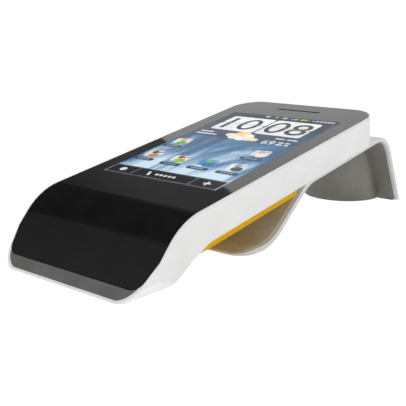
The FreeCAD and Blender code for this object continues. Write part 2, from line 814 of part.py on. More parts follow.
def make_charge_port():
    """The charging and data socket: a metal sleeve with its tongue, flush in the rear wall."""
    rear = size("deck_length")
    body = rear_piece("charge_port", PORT, str(PORT["width"] - 0.2), str(PORT["height"] - 0.2),
                      rear - 8.5, rear - 0.4)
    mouth = new_sketch(body, "XZ_Plane", "port_mouth", -rear)
    draw_rectangle(mouth, str(PORT["width"] - 1.2), str(PORT["height"] - 1.2), str(PORT["x"]),
                   str(PORT["level"]))
    pocket(body, mouth, "port_mouth_cut", "6.5", reverse=True)
    tongue = new_sketch(body, "XZ_Plane", "port_tongue", -(rear - 1.4))
    draw_rectangle(tongue, str(PORT["width"] - 3.4), "0.7", str(PORT["x"]), str(PORT["level"]))
    pad(body, tongue, "tongue_pad", "6")
    return body


def make_power_key():
    """The power key in the rear wall: it stands a little proud and presses straight in."""
    rear = size("deck_length")
    proud = 0.6
    body = rear_piece("power_key", POWER_KEY, str(POWER_KEY["width"]), str(POWER_KEY["height"]),
                      rear - size("wall_thickness") - 0.4, rear + proud)
    flange = new_sketch(body, "XZ_Plane", "key_flange", -(rear - size("wall_thickness") - 0.4))
    draw_rectangle(flange, str(POWER_KEY["width"] + 2), str(POWER_KEY["height"] + 1.6),
                   str(POWER_KEY["x"]), str(POWER_KEY["level"]))
    pad(body, flange, "flange_pad", "0.7")
    return body


def make_power_switch():
    """The tactile switch that the power key presses."""
    inner = size("deck_length") - size("wall_thickness") - 1.1 - size("key_travel") - 0.3
    return rear_piece("power_switch", POWER_KEY, "6", "3", inner - 3.0, inner)


def make_volume_rocker():
    """The volume rocker in the left wall: one cap that tips either way, with a flange behind the wall."""
    body = new_body("volume_rocker", DECK)
    sketch = new_sketch(body, "XY_Plane", "rocker_outline", ROCKER["level"] - ROCKER["height"] / 2)
    half = ROCKER["length"] / 2
    outer = -wall_outer_x() - 0.7
    inner = rocker_inner_x()
    neck = inner - 0.6
    corners = [
        (outer + 0.4, ROCKER["y"] - half, 0.6),
        (outer, ROCKER["y"], 0),
        (outer + 0.4, ROCKER["y"] + half, 0.6),
        (neck, ROCKER["y"] + half, 0),
        (neck, ROCKER["y"] + half + 1, 0),
        (inner, ROCKER["y"] + half + 1, 0),
        (inner, ROCKER["y"] - half - 1, 0),
        (neck, ROCKER["y"] - half - 1, 0),
        (neck, ROCKER["y"] - half, 0),
    ]
    draw_outline(sketch, corners)
    pad(body, sketch, "rocker_pad", str(ROCKER["height"]))
    return body


def rocker_inner_x():
    """The rocker's inner face: its flange clears the leaning wall while it tips."""
    return -wall_outer_x() + size("wall_thickness") + 1.75


def wall_outer_x():
    """How far out the leaning side wall is at the rocker's level."""
    return HALF_WIDTH + size("side_lean") * (ROCKER["level"] + size("rim_height"))


def make_volume_switch():
    """The pair of tactile switches behind the rocker, one behind each end."""
    body = new_body("volume_switch", DECK)
    sketch = new_sketch(body, "XY_Plane", "switch_outline", ROCKER["level"] - 1.2)
    inner = rocker_inner_x() + 0.4
    for end in (-1, 1):
        centre = ROCKER["y"] + end * (ROCKER["length"] / 2 - 4.5)
        corners = [
            (inner, centre - 2, 0),
            (inner + 1.8, centre - 2, 0),
            (inner + 1.8, centre + 2, 0),
            (inner, centre + 2, 0),
        ]
        draw_outline(sketch, corners)
    pad(body, sketch, "switch_pad", "2.4")
    return body


# ---- The ribbon stand --------------------------------------------------------------------


def ribbon_line(depth):
    """The ribbon's side line in world coordinates, a distance below its upper face.

    It runs along the table from the toe, climbs to the deck's slope, follows the body's
    underside and turns down behind the body as the rear leg.
    """
    thickness = size("ribbon_thickness")
    under_start = to_world(0, -size("body_depth") - depth)
    slope = size("ribbon_slope")
    rise = math.radians(slope)
    lift = thickness - depth + size("foot_height")
    ramp_foot = FRONT_TIP + 88.3 - (thickness - depth) * math.tan(rise / 2)
    climb = meet((ramp_foot, lift), slope, under_start, size("deck_tilt"))
    leg = math.radians(size("leg_slope"))
    leg_foot = (REAR_TIP - depth / math.sin(leg), size("foot_height"))
    shoulder = meet(under_start, size("deck_tilt"), leg_foot, -size("leg_slope"))
    return [
        (ramp_foot, lift, size("ribbon_front_radius") - thickness + depth),
        (climb[0], climb[1], size("ribbon_upper_radius") - depth * -1),
        (shoulder[0], shoulder[1], size("ribbon_rear_radius") + thickness - depth),
        (leg_foot[0], leg_foot[1], 0),
    ]


def make_stand_ribbon():
    """The white ribbon: one strip bent from the toe on the table to the rear leg."""
    body = new_body("ribbon_strip")
    thickness = size("ribbon_thickness")
    toe_y = FRONT_TIP + size("ribbon_toe")
    foot = size("foot_height")
    sketch = new_sketch(body, "YZ_Plane", "ribbon_side_line")
    corners = [(toe_y, foot, 0), (toe_y, foot + size("ribbon_toe_thickness"), 0)]
    corners += [(toe_y + TOE_TAPER, foot + thickness, 20.0)]
    corners += ribbon_line(0.0) + list(reversed(ribbon_line(thickness)))
    draw_outline(sketch, corners)
    pad(body, sketch, "ribbon_pad", "Sizes.ribbon_width", both_ways=True)
    round_toe(body, size("ribbon_width") / 2, toe_y, size("ribbon_corner_radius"))
    holes = hole_tool("ribbon_screw_holes", stand_screw_places(), "Sizes.screw_radius",
                      "2 * Sizes.ribbon_thickness", -size("body_depth") - 1.5 * thickness)
    return cut("stand_ribbon", body, holes)


TOE_TAPER = 8.0


def round_toe(body, half_width, toe_y, radius):
    """Round the two plan corners of the ribbon's toe."""
    sketch = new_sketch(body, "XY_Plane", body.Name + "_toe_corners")
    spare = 5.0
    for side in (-1, 1):
        centre = Vector(side * (half_width - radius), toe_y + radius, 0)
        beside = centre + Vector(side * radius, 0, 0)
        ahead = centre - Vector(0, radius, 0)
        middle = centre + Vector(side, -1, 0) * (radius / math.sqrt(2))
        path = [
            beside,
            beside + Vector(side * spare, 0, 0),
            Vector(side * (half_width + spare), toe_y - spare, 0),
            ahead - Vector(0, spare, 0),
            ahead,
        ]
        for start, stop in zip(path, path[1:]):
            sketch.addGeometry(Part.LineSegment(start, stop))
        sketch.addGeometry(Part.Arc(ahead, middle, beside))
    return pocket(body, sketch, body.Name + "_toe_cut", both_ways=True)


def make_leg_liner():
    """The dark lining of the rear leg and of the ribbon's underside ahead of it."""
    body = new_body("liner_strip")
    sketch = new_sketch(body, "YZ_Plane", "liner_side_line")
    thickness = size("ribbon_thickness")
    outer = ribbon_line(thickness)
    inner = ribbon_line(thickness + size("liner_thickness"))
    start = FRONT_TIP + 125.0
    slope = math.tan(TILT)
    outer_start = outer[2][1] - (outer[2][0] - start) * slope
    inner_start = inner[2][1] - (inner[2][0] - start) * slope
    corners = [(start, inner_start, 0), (start, outer_start, 0), *outer[2:], *reversed(inner[2:])]
    draw_outline(sketch, corners)
    pad(body, sketch, "liner_pad", "Sizes.ribbon_width - 2 * Sizes.liner_margin", both_ways=True)
    level = -size("body_depth") - thickness - 2 * size("liner_thickness")
    holes = hole_tool("liner_screw_holes", stand_screw_places(), "Sizes.screw_head_radius + 0.2",
                      "3 * Sizes.liner_thickness", level)
    return cut("leg_liner", body, holes)


def make_trough_liner():
    """The grey-brown lining of the ribbon's upper face, from the toe up to the body."""
    body = new_body("trough_liner")
    sketch = new_sketch(body, "YZ_Plane", "trough_side_line")
    cover = size("liner_thickness") / 2
    lower = ribbon_line(0.0)
    upper = ribbon_line(-cover)
    toe_y = FRONT_TIP + size("ribbon_toe")
    start = toe_y + 1.5
    taper = (size("ribbon_thickness") - size("ribbon_toe_thickness")) / TOE_TAPER
    start_level = size("foot_height") + size("ribbon_toe_thickness") + 1.5 * taper
    rise = math.tan(math.radians(size("ribbon_slope")))
    stop = lower[1][0] - 7.0
    corners = [
        (start, start_level, 0),
        (toe_y + TOE_TAPER, upper[0][1], 20.0),
        upper[0],
        (stop, upper[0][1] + (stop - upper[0][0]) * rise, 0),
        (stop, lower[0][1] + (stop - lower[0][0]) * rise, 0),
        lower[0],
        (toe_y + TOE_TAPER, lower[0][1], 20.0),
    ]
    draw_outline(sketch, corners)
    margin = size("liner_margin")
    pad(body, sketch, "trough_pad", "Sizes.ribbon_width - 2 * Sizes.liner_margin", both_ways=True)
    round_toe(body, size("ribbon_width") / 2 - margin, start, size("ribbon_corner_radius") - margin)
    return body


def pod_outline(sketch, inset, rear_y):
    """The pod in plan: a half-round front that meets the leg."""
    radius = size("pod_radius") - inset
    left = Vector(-radius, rear_y, 0)
    right = Vector(radius, rear_y, 0)
    sketch.addGeometry(Part.Arc(left, Vector(0, POD_CENTRE - radius, 0), right))
    sketch.addGeometry(Part.LineSegment(right, left))


POD_CENTRE = REAR_TIP - 6.0


def make_pod_block(name, inset, roof):
    """A half-round block standing on the table, cut to the ribbon's slope above and the leg behind."""
    body = new_body(name)
    plan = new_sketch(body, "XY_Plane", name + "_plan", size("foot_height"))
    pod_outline(plan, inset, POD_CENTRE)
    pad(body, plan, name + "_pad", "2 * Sizes.knee_height")
    depth = size("ribbon_thickness") + size("liner_thickness") + roof
    line = ribbon_line(depth)
    slope = math.tan(TILT)
    start = line[2][0] - 3 * size("pod_radius")
    side = new_sketch(body, "YZ_Plane", name + "_lid_line")
    above = 3 * size("knee_height")
    leg = math.radians(size("leg_slope"))
    foot_y = line[3][0] + line[3][1] / math.tan(leg)
    corners = [
        (start, line[2][1] - (line[2][0] - start) * slope, 0),
        line[2],
        (foot_y, 0, 0),
        (foot_y + 30, 0, 0),
        (foot_y + 30, above, 0),
        (start, above, 0),
    ]
    draw_outline(side, corners)
    pocket(body, side, name + "_lid_cut", both_ways=True)
    return body


def make_rear_pod():
    """The dark grey housing inside the leg: a half-round shell open below."""
    shell = make_pod_block("pod_shell", 0.0, 0.0)
    hollow = make_pod_block("pod_hollow", size("pod_wall"), size("pod_wall"))
    return cut("rear_pod", shell, hollow)


def make_pod_base():
    """The plate that closes the pod from below, set up inside its wall."""
    body = new_body("pod_base")
    plan = new_sketch(body, "XY_Plane", "base_plan", size("foot_height"))
    inset = size("pod_wall") + 0.15
    pod_outline(plan, inset, POD_CENTRE - 1.0)
    pad(body, plan, "base_pad", "Sizes.pod_base_thickness")
    holes = new_sketch(body, "XY_Plane", "base_holes", 0)
    for x, y in pod_screw_places():
        draw_circle(holes, x, y, "Sizes.screw_radius")
    pocket(body, holes, "base_hole_cut", "Sizes.pod_base_thickness + 2", reverse=True)
    return body


def pod_screw_places():
    """Where the pod's base is screwed up into it."""
    return [(side * size("pod_radius") / 2, POD_CENTRE - 12.0) for side in (-1, 1)]


def make_pod_weight():
    """The steel weight in the pod, which keeps the light stand from tipping forward."""
    body = new_body("pod_weight")
    plan = new_sketch(body, "XY_Plane", "weight_plan", size("foot_height") + size("pod_base_thickness"))
    radius = size("pod_radius") - size("pod_wall") - 3.0
    chord_y = POD_CENTRE - 9.0
    left = Vector(-radius * 0.8, chord_y, 0)
    right = Vector(radius * 0.8, chord_y, 0)
    plan.addGeometry(Part.Arc(left, Vector(0, POD_CENTRE - radius, 0), right))
    plan.addGeometry(Part.LineSegment(right, left))
    pad(body, plan, "weight_pad", "7")
    holes = new_sketch(body, "XY_Plane", "weight_holes", 0)
    for x, y in pod_screw_places():
        draw_circle(holes, x, y, "Sizes.screw_radius + 0.3")
    pocket(body, holes, "weight_hole_cut", "20", reverse=True)
    return body


def make_pod_screws():
    """Two screws that hold the pod's base and the weight."""
    body = new_body("pod_screws")
    shanks = new_sketch(body, "XY_Plane", "pod_screw_shanks", size("foot_height") + 0.6)
    heads = new_sketch(body, "XY_Plane", "pod_screw_heads", size("foot_height") + 0.6)
    for x, y in pod_screw_places():
        draw_circle(heads, x, y, "Sizes.screw_radius")
        draw_circle(shanks, x, y, "Sizes.screw_radius")
    pad(body, shanks, "shank_pad", "7")
    return body


# ---- Feet and fixings --------------------------------------------------------------------


def flat_foot(name, plan):
    """Thin rubber feet on the table; plan draws their outlines."""
    body = new_body(name)
    sketch = new_sketch(body, "XY_Plane", name + "_plan")
    plan(sketch)
    pad(body, sketch, name + "_pad", "Sizes.foot_height")
    return body


def make_feet():
    """Rubber under the belly, under the ribbon's toe and under the rear leg."""
    belly_y = FRONT_TIP + size("belly_reach") / 2 - 2
    toe_y = FRONT_TIP + size("ribbon_toe") + 7

    def belly_plan(sketch):
        draw_rectangle(sketch, "44", "6", "0", str(belly_y))

    def toe_plan(sketch):
        draw_rectangle(sketch, "40", "4", "0", str(toe_y))

    def leg_plan(sketch):
        draw_rectangle(sketch, "Sizes.ribbon_width - 6", "1.8", "0", str(REAR_TIP - 1.5))

    return [
        flat_foot("belly_foot", belly_plan),
        flat_foot("toe_foot", toe_plan),
        flat_foot("leg_foot", leg_plan),
    ]


def stand_screw_places():
    """Where the ribbon is screwed to the body, along the deck."""
    return [(side * 20.0, y) for side in (-1, 1) for y in (108.0, 128.0)]


def make_stand_screws():
    """Four screws from below, through the ribbon into the body's floor."""
    body = new_body("stand_screws", DECK)
    level = -size("body_depth") - size("ribbon_thickness")
    heads = new_sketch(body, "XY_Plane", "stand_screw_heads", level)
    shanks = new_sketch(body, "XY_Plane", "stand_screw_shanks", level)
    for x, y in stand_screw_places():
        draw_circle(heads, x, y, "Sizes.screw_head_radius")
        draw_circle(shanks, x, y, "Sizes.screw_radius")
    pad(body, heads, "stand_head_pad", "1.2", reverse=True)
    pad(body, shanks, "stand_shank_pad", "Sizes.ribbon_thickness + Sizes.wall_thickness + 3")
    return body


def hole_tool(name, places, radius, length, level):
    """A group of round cutters standing along the deck's normal."""
    body = new_body(name, DECK)
    sketch = new_sketch(body, "XY_Plane", name + "_circles", level)
    for x, y in places:
        draw_circle(sketch, x, y, radius)
    pad(body, sketch, name + "_pad", length)
    return body


def finish():
    """Check every object, then write each sub-part to its own STEP file."""
    doc.recompute()
    for item in doc.Objects:
        if "Invalid" in item.State or "Error" in item.State:
            raise RuntimeError(f"{item.Label} failed: {item.State}")
    os.makedirs("parts", exist_ok=True)
    for part in PARTS:
        shape = part.Shape
        if shape.isNull() or not shape.isValid():
            raise RuntimeError(f"{part.Label} has no valid shape")
        print(f"{part.Label:20s} {shape.Volume / 1000:9.3f} cm3  solids {len(shape.Solids)}  {shape.BoundBox}")
        shape.exportStep(f"parts/{part.Label}.step")


HULL = make_hull()
RECESS = make_glass_recess()
PARTS = [
    make_front_glass(),
    make_chin_trim(HULL, RECESS),
    make_body_shell(HULL, RECESS),
    make_display_panel(),
    make_display_frame(),
    make_main_board(),
    make_board_screws(),
    make_secure_module(),
    make_radio_shield(),
    make_battery_pack(),
    make_battery_door(),
    make_antenna(),
    make_loudspeaker(),
    make_earpiece_mesh(),
    make_coin_cell(),
    make_buzzer_motor(),
    make_charge_port(),
    make_power_key(),
    make_power_switch(),
    make_volume_rocker(),
    make_volume_switch(),
    make_stand_ribbon(),
    make_leg_liner(),
    make_trough_liner(),
    make_rear_pod(),
    make_pod_base(),
    make_pod_weight(),
    make_pod_screws(),
    *make_feet(),
    make_stand_screws(),
]
finish()
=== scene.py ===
import logging
import math
from dataclasses import dataclass, field
from enum import Enum

import bmesh
import bpy
from mathutils import Matrix, Vector


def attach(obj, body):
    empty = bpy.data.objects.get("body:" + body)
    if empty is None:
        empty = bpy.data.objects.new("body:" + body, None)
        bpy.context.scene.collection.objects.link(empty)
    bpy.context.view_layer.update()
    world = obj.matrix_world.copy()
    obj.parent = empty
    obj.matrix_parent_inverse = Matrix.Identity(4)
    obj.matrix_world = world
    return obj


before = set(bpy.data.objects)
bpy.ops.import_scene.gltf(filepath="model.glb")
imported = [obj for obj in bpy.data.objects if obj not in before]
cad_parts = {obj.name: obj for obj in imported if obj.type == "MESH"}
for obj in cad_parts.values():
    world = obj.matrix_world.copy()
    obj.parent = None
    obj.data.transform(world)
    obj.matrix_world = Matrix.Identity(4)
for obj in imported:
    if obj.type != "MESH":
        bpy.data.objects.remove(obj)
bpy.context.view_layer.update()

logging.basicConfig(level=logging.INFO, format="%(message)s")
LOG = logging.getLogger("payment_terminal")

MM = 0.001
BODY = "terminal"
Colour = tuple[float, float, float]
NOISE_LOW, NOISE_HIGH = 0.3, 0.7


def linear(red: int, green: int, blue: int) -> Colour:
    """Turn a display colour into the shader's linear one.

    Args:
        red, green, blue: channel values from 0 to 255.

    Returns:
        The three linear channel values.
    """
    channels = []
    for value in (red, green, blue):
        share = value / 255
        channels.append(share / 12.92 if share <= 0.04045 else ((share + 0.055) / 1.055) ** 2.4)
    return channels[0], channels[1], channels[2]


# ---- The deck: the plane of the screen ----------------------------------------------------


@dataclass(frozen=True)
class Deck:
    """The screen's plane: its origin is the knee, +Y runs up the screen and +Z out of it.

    Sizes are in metres and degrees, as in the part's own design.
    """

    knee_y: float = -0.07873
    knee_z: float = 0.0263
    tilt: float = 10.2

    def matrix(self) -> Matrix:
        """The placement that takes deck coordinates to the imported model's frame."""
        turn = Matrix.Rotation(math.radians(self.tilt), 4, "X")
        return Matrix.Translation((0.0, self.knee_y, self.knee_z)) @ turn


DECK = Deck()
SCREEN_START = 28.4 * MM


class Level(Enum):
    """Heights of the picture's layers above the glass, in metres, lowest first."""

    WALLPAPER = 0.00004
    SHADE = 0.00006
    PANEL = 0.00008
    TILE = 0.00012
    MARK = 0.00016
    GLYPH = 0.00020


# ---- Finishes -----------------------------------------------------------------------------


def add_node(material: bpy.types.Material, kind: str, **inputs: object) -> bpy.types.Node:
    """Add a shader node and set its unlinked inputs.

    Args:
        material: the material that gets the node.
        kind: the node's type name.
        inputs: socket names, with underscores for spaces, and their values.

    Returns:
        The new node.
    """
    node = material.node_tree.nodes.new(kind)
    for name, value in inputs.items():
        node.inputs[name.replace("_", " ")].default_value = value
    return node


def link(material: bpy.types.Material, source: object, target: object) -> None:
    """Join two sockets of one material."""
    material.node_tree.links.new(source, target)


def noise(material: bpy.types.Material, scale: float, detail: float = 3.0,
          stretch: Colour = (1.0, 1.0, 1.0)) -> bpy.types.NodeSocket:
    """Add a noise pattern on the piece's own coordinates.

    Args:
        material: the material that gets the pattern.
        scale: waves per metre.
        detail: how many finer octaves are added.
        stretch: the pattern's stretch along each axis.

    Returns:
        The pattern's value socket.
    """
    place = add_node(material, "ShaderNodeTexCoord")
    mapping = add_node(material, "ShaderNodeMapping", Scale=stretch)
    pattern = add_node(material, "ShaderNodeTexNoise", Scale=scale, Detail=detail)
    link(material, place.outputs["Object"], mapping.inputs["Vector"])
    link(material, mapping.outputs["Vector"], pattern.inputs["Vector"])
    return pattern.outputs["Fac"]


def spread(material: bpy.types.Material, value: bpy.types.NodeSocket, low: float,
           high: float) -> bpy.types.NodeSocket:
    """Map a pattern's middle range to a range of values.

    Args:
        material: the material that gets the node.
        value: the pattern, from 0 to 1.
        low, high: the values at the pattern's dark and bright ends.

    Returns:
        The mapped value's socket.
    """
    node = add_node(material, "ShaderNodeMapRange")
    node.inputs["From Min"].default_value = NOISE_LOW
    node.inputs["From Max"].default_value = NOISE_HIGH
    node.inputs["To Min"].default_value = low
    node.inputs["To Max"].default_value = high
    link(material, value, node.inputs["Value"])
    return node.outputs["Result"]


@dataclass(frozen=True)
class Finish:
    """A moulded, painted or coated surface with its grain, unevenness and worn shine."""

    name: str
    colour: Colour
    second_colour: Colour
    roughness: tuple[float, float] = (0.35, 0.45)
    metallic: float = 0.0
    coat: float = 0.0
    specular: float = 0.5
    mottle_scale: float = 60.0
    grain_scale: float = 2500.0
    grain_height: float = 0.00002
    grain_stretch: Colour = (1.0, 1.0, 1.0)

    def make(self) -> bpy.types.Material:
        """Build the material.

        Returns:
            The node-based material.
        """
        material = bpy.data.materials.new(self.name)
        material.use_nodes = True
        shader = material.node_tree.nodes["Principled BSDF"]
        shader.inputs["Metallic"].default_value = self.metallic
        shader.inputs["Coat Weight"].default_value = self.coat
        shader.inputs["Specular IOR Level"].default_value = self.specular
        mottle = noise(material, self.mottle_scale)
        mix = add_node(material, "ShaderNodeMix")
        mix.data_type = "RGBA"
        mix.inputs[7].default_value = (*self.second_colour, 1.0)
        mix.inputs[6].default_value = (*self.colour, 1.0)
        link(material, spread(material, mottle, 0.0, 1.0), mix.inputs[0])
        link(material, mix.outputs[2], shader.inputs["Base Color"])
        grain = noise(material, self.grain_scale, 2.0, self.grain_stretch)
        link(material, spread(material, grain, *self.roughness), shader.inputs["Roughness"])
        bump = add_node(material, "ShaderNodeBump", Strength=0.35, Distance=self.grain_height)
        link(material, grain, bump.inputs["Height"])
        link(material, bump.outputs["Normal"], shader.inputs["Normal"])
        return material


@dataclass(frozen=True)
class GlassFinish:
    """Black-backed cover glass: deep and sharp, with faint smears in its shine."""

    name: str
    colour: Colour

    def make(self) -> bpy.types.Material:
        """Build the material.

        Returns:
            The node-based material.
        """
        material = bpy.data.materials.new(self.name)
        material.use_nodes = True
        shader = material.node_tree.nodes["Principled BSDF"]
        shader.inputs["IOR"].default_value = 1.5
        smear = noise(material, 90.0, 4.0, (1.0, 0.35, 1.0))
        tint = add_node(material, "ShaderNodeMix")
        tint.data_type = "RGBA"
        tint.inputs[6].default_value = (*self.colour, 1.0)
        tint.inputs[7].default_value = (*(1.5 * part for part in self.colour), 1.0)
        link(material, spread(material, smear, 0.0, 1.0), tint.inputs[0])
        link(material, tint.outputs[2], shader.inputs["Base Color"])
        link(material, spread(material, smear, 0.015, 0.05), shader.inputs["Roughness"])
        return material


@dataclass(frozen=True)
class InkFinish:
    """A lit colour of the display's picture, with a soft gradient across it."""

    name: str
    colour: Colour
    second_colour: Colour
    pattern_scale: float = 120.0
    strength: float = 1.0

    def make(self) -> bpy.types.Material:
        """Build the material.

        Returns:
            The node-based material.
        """
        material = bpy.data.materials.new(self.name)
        material.use_nodes = True
        shader = material.node_tree.nodes["Principled BSDF"]
        shader.inputs["Base Color"].default_value = (0.01, 0.01, 0.012, 1.0)
        shader.inputs["Specular IOR Level"].default_value = 0.08
        shader.inputs["Roughness"].default_value = 0.12
        shader.inputs["Emission Strength"].default_value = self.strength
        mix = add_node(material, "ShaderNodeMix")
        mix.data_type = "RGBA"
        mix.inputs[6].default_value = (*self.colour, 1.0)
        mix.inputs[7].default_value = (*self.second_colour, 1.0)
        pattern = noise(material, self.pattern_scale, 2.0)
        link(material, spread(material, pattern, 0.0, 1.0), mix.inputs[0])
        link(material, mix.outputs[2], shader.inputs["Emission Color"])
        return material


@dataclass(frozen=True)
class WallpaperFinish:
    """The display's background: blue shades with soft light streaks.

    foot and head are places up the screen, each with how much it brightens the pattern there.
    shades are the pattern's values at the deep, middle and light colours.
    """

    name: str
    deep: Colour
    middle: Colour
    light: Colour
    lean: float = 28.0
    streak_scale: Colour = (30.0, 9.0, 9.0)
    twist: float = 1.8
    foot: tuple[float, float] = (-0.045, 0.18)
    head: tuple[float, float] = (0.035, -0.34)
    shades: Colour = (0.24, 0.46, 0.60)

    def make(self) -> bpy.types.Material:
        """Build the material.

        Returns:
            The node-based material.
        """
        material = bpy.data.materials.new(self.name)
        material.use_nodes = True
        shader = material.node_tree.nodes["Principled BSDF"]
        shader.inputs["Base Color"].default_value = (0.01, 0.01, 0.012, 1.0)
        shader.inputs["Specular IOR Level"].default_value = 0.08
        shader.inputs["Roughness"].default_value = 0.12
        shader.inputs["Emission Strength"].default_value = 1.0
        place = add_node(material, "ShaderNodeTexCoord")
        turned = add_node(material, "ShaderNodeMapping", Location=(0.02, 0.05, 0.0),
                          Rotation=(0.0, 0.0, math.radians(self.lean)), Scale=self.streak_scale)
        link(material, place.outputs["Object"], turned.inputs["Vector"])
        streaks = add_node(material, "ShaderNodeTexNoise", Scale=1.0, Detail=4.0, Distortion=self.twist)
        link(material, turned.outputs["Vector"], streaks.inputs["Vector"])
        split = add_node(material, "ShaderNodeSeparateXYZ")
        link(material, place.outputs["Object"], split.inputs["Vector"])
        rise = add_node(material, "ShaderNodeMapRange")
        rise.inputs["From Min"].default_value, rise.inputs["To Min"].default_value = self.foot
        rise.inputs["From Max"].default_value, rise.inputs["To Max"].default_value = self.head
        link(material, split.outputs["Y"], rise.inputs["Value"])
        total = add_node(material, "ShaderNodeMath")
        link(material, streaks.outputs["Fac"], total.inputs[0])
        link(material, rise.outputs["Result"], total.inputs[1])
        ramp = add_node(material, "ShaderNodeValToRGB")
        stops = ramp.color_ramp.elements
        stops[0].position, stops[0].color = self.shades[0], (*self.deep, 1.0)
        stops[1].position, stops[1].color = self.shades[2], (*self.light, 1.0)
        middle = stops.new(self.shades[1])
        middle.color = (*self.middle, 1.0)
        link(material, total.outputs["Value"], ramp.inputs["Fac"])
        link(material, ramp.outputs["Color"], shader.inputs["Emission Color"])
        return material


# ---- Mesh helpers -------------------------------------------------------------------------


def plate(bm: bmesh.types.BMesh, centre: tuple[float, float], size: tuple[float, float],
          radius: float, level: float, lean: float = 0.0) -> None:
    """Add a thin plate with rounded corners, lying along the deck.

    Args:
        bm: the mesh that gets the plate.
        centre: its middle across and up the screen, in metres.
        size: its width and length, in metres.
        radius: its corners' radius.
        level: how high its face stands above the glass.
        lean: how far it is turned in its own plane, in degrees.
    """
    corners = bmesh.ops.create_grid(bm, x_segments=1, y_segments=1, size=0.5)["verts"]
    bmesh.ops.scale(bm, vec=(size[0], size[1], 1.0), verts=corners)
    face = corners[0].link_faces[0]
    if radius > 0:
        rounded = bmesh.ops.bevel(bm, geom=corners, offset=radius, offset_type="OFFSET", segments=4,
                                  profile=0.5, affect="VERTICES", material=-1)
        face = max(rounded["verts"][0].link_faces, key=lambda each: each.calc_area())
    raise_face(bm, face, centre, level, lean)


def disc(bm: bmesh.types.BMesh, centre: tuple[float, float], radius: float, level: float,
         squeeze: float = 1.0) -> None:
    """Add a thin round or oval plate lying along the deck.

    Args:
        bm: the mesh that gets the disc.
        centre: its middle across and up the screen, in metres.
        radius: its radius across the screen.
        level: how high its face stands above the glass.
        squeeze: its length up the screen as a share of its width.
    """
    ring = bmesh.ops.create_circle(bm, cap_ends=True, segments=28, radius=radius)["verts"]
    bmesh.ops.scale(bm, vec=(1.0, squeeze, 1.0), verts=ring)
    raise_face(bm, ring[0].link_faces[0], centre, level, 0.0)


def raise_face(bm: bmesh.types.BMesh, face: bmesh.types.BMFace, centre: tuple[float, float],
               level: float, lean: float) -> None:
    """Give a flat face its thickness and put it in its place on the deck.

    Args:
        bm: the mesh that holds the face.
        face: the flat outline.
        centre: its middle across and up the screen, in metres.
        level: how high its face stands above the glass.
        lean: how far it is turned in its own plane, in degrees.
    """
    if face.normal.z > 0:
        bmesh.ops.reverse_faces(bm, faces=[face])
    base = list(face.verts)
    raised = bmesh.ops.extrude_face_region(bm, geom=[face])["geom"]
    top = [each for each in raised if isinstance(each, bmesh.types.BMVert)]
    bmesh.ops.translate(bm, vec=(0.0, 0.0, level), verts=top)
    place = Matrix.Translation((centre[0], SCREEN_START + centre[1], 0.0))
    place = place @ Matrix.Rotation(math.radians(lean), 4, "Z")
    bmesh.ops.transform(bm, matrix=place, verts=base + top)


def finish_piece(name: str, bm: bmesh.types.BMesh, material: bpy.types.Material) -> bpy.types.Object:
    """Turn a mesh drawn in deck coordinates into a piece of the terminal.

    Args:
        name: the piece's name.
        bm: the mesh, which is freed.
        material: its finish.

    Returns:
        The piece, riding on the terminal.
    """
    bmesh.ops.recalc_face_normals(bm, faces=bm.faces)
    bm.transform(DECK.matrix())
    mesh = bpy.data.meshes.new(name)
    bm.to_mesh(mesh)
    bm.free()
    mesh.materials.append(material)
    piece = bpy.data.objects.new(name, mesh)
    bpy.context.scene.collection.objects.link(piece)
    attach(piece, BODY)
    LOG.info("%s: %d faces", name, len(mesh.polygons))
    return piece


def number_mesh(bm: bmesh.types.BMesh, text: str, centre: tuple[float, float], height: float,
                level: float, widen: float = 1.0) -> None:
    """Add a number in relief, lying along the deck.

    Args:
        bm: the mesh that gets the number.
        text: the digits.
        centre: their middle across and up the screen, in metres.
        height: the digits' height.
        level: how high their face stands above the glass.
        widen: their width as a share of the lettering's own.
    """
    curve = bpy.data.curves.new("number", "FONT")
    curve.body = text
    curve.align_x = "CENTER"
    curve.align_y = "CENTER"
    curve.size = 1.0
    curve.extrude = 0.5
    drawn = bpy.data.objects.new("number", curve)
    bpy.context.scene.collection.objects.link(drawn)
    mesh = bpy.data.meshes.new_from_object(drawn.evaluated_get(bpy.context.evaluated_depsgraph_get()))
    bpy.data.objects.remove(drawn)
    bpy.data.curves.remove(curve)
    low = min(vertex.co.y for vertex in mesh.vertices)
    high = max(vertex.co.y for vertex in mesh.vertices)
    left = min(vertex.co.x for vertex in mesh.vertices)
    right = max(vertex.co.x for vertex in mesh.vertices)
    scale = height / (high - low)
    place = Matrix.Translation((centre[0], SCREEN_START + centre[1], level / 2))
    place = place @ Matrix.Diagonal((scale * widen, scale, level, 1.0))
    place = place @ Matrix.Translation((-(left + right) / 2, -(low + high) / 2, 0.0))
    mesh.transform(place)
    bm.from_mesh(mesh)
    bpy.data.meshes.remove(mesh)


# ---- The display's picture ----------------------------------------------------------------


@dataclass
class Wallpaper:
    """The display's lit background."""

    width: float = 61.0 * MM
    length: float = 91.6 * MM
    finish: WallpaperFinish = field(default_factory=lambda: WallpaperFinish(
        "display_wallpaper", linear(14, 36, 62), linear(66, 116, 156), linear(204, 226, 242)))

    def build(self) -> bpy.types.Object:
        """Build the background sheet.

        Returns:
            The finished piece.
        """
        bm = bmesh.new()
        plate(bm, (0.0, self.length / 2), (self.width, self.length), 0.6 * MM, Level.WALLPAPER.value)
        return finish_piece("screen_wallpaper", bm, self.finish.make())


